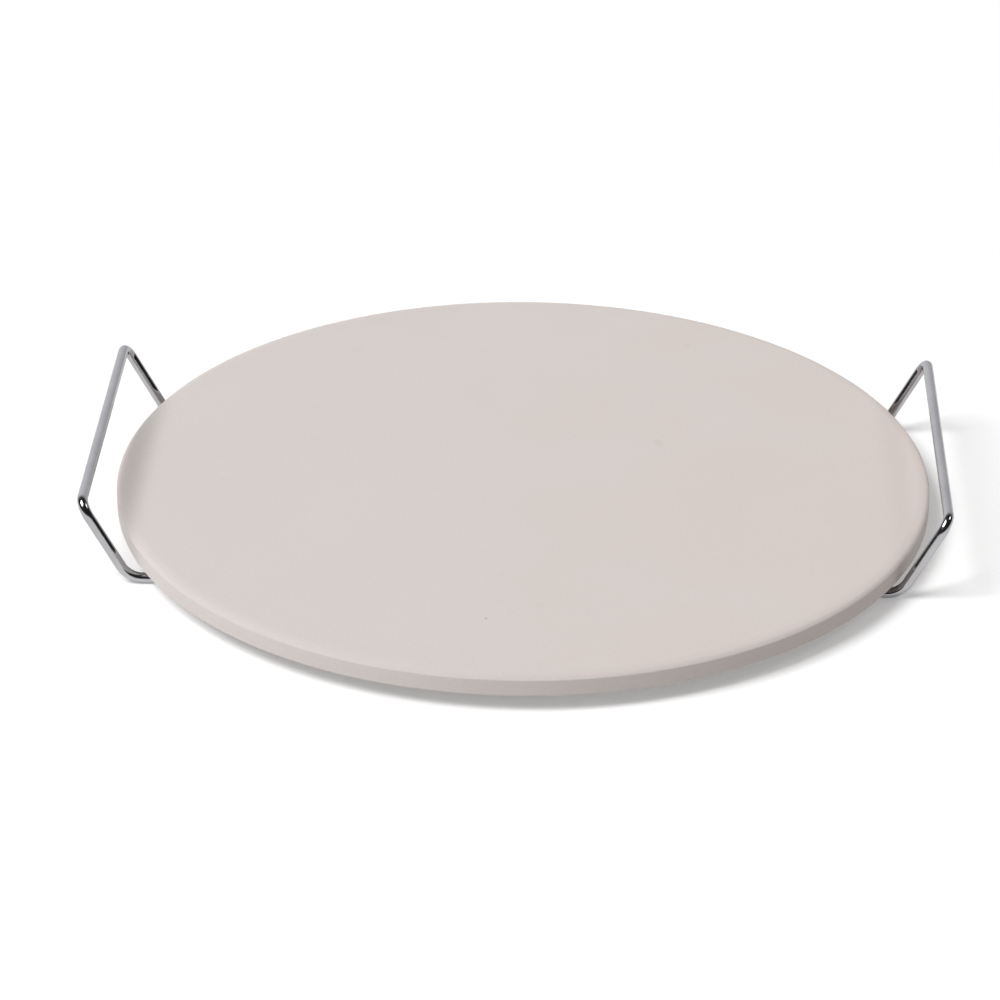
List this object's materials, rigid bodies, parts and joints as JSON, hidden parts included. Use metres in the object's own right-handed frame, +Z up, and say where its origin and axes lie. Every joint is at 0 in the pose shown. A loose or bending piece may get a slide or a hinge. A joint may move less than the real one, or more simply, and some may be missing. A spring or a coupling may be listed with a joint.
{
  "type": "pizza stone",
  "caption": "Round ceramic baking stone with a bevelled rim, lying loose on a low chromed wire rack with a raised carrying handle at each end.",
  "frame": {"origin": "on the table, under the middle of the rack: the centre of the bottom of the whole object's box", "axes": "+Z up, +X from the left handle to the right handle, +Y from front to rear"},
  "size_m": [0.3942, 0.38, 0.0418],
  "materials": {
    "stone_ceramic": "unglazed, matt, pale pinkish beige",
    "chromed_wire": "bright chrome plate on drawn steel wire"
  },
  "bodies": {
    "rack": {"handle_wire": "chromed_wire", "left_cross_wire": "chromed_wire", "right_cross_wire": "chromed_wire"},
    "stone": {"baking_stone": "stone_ceramic"}
  },
  "joints": [
    {"name": "stone_lift", "type": "slide", "parent": "rack", "child": "stone", "axis": [0, 0, 1], "range_m": [0, 0.06]}
  ]
}
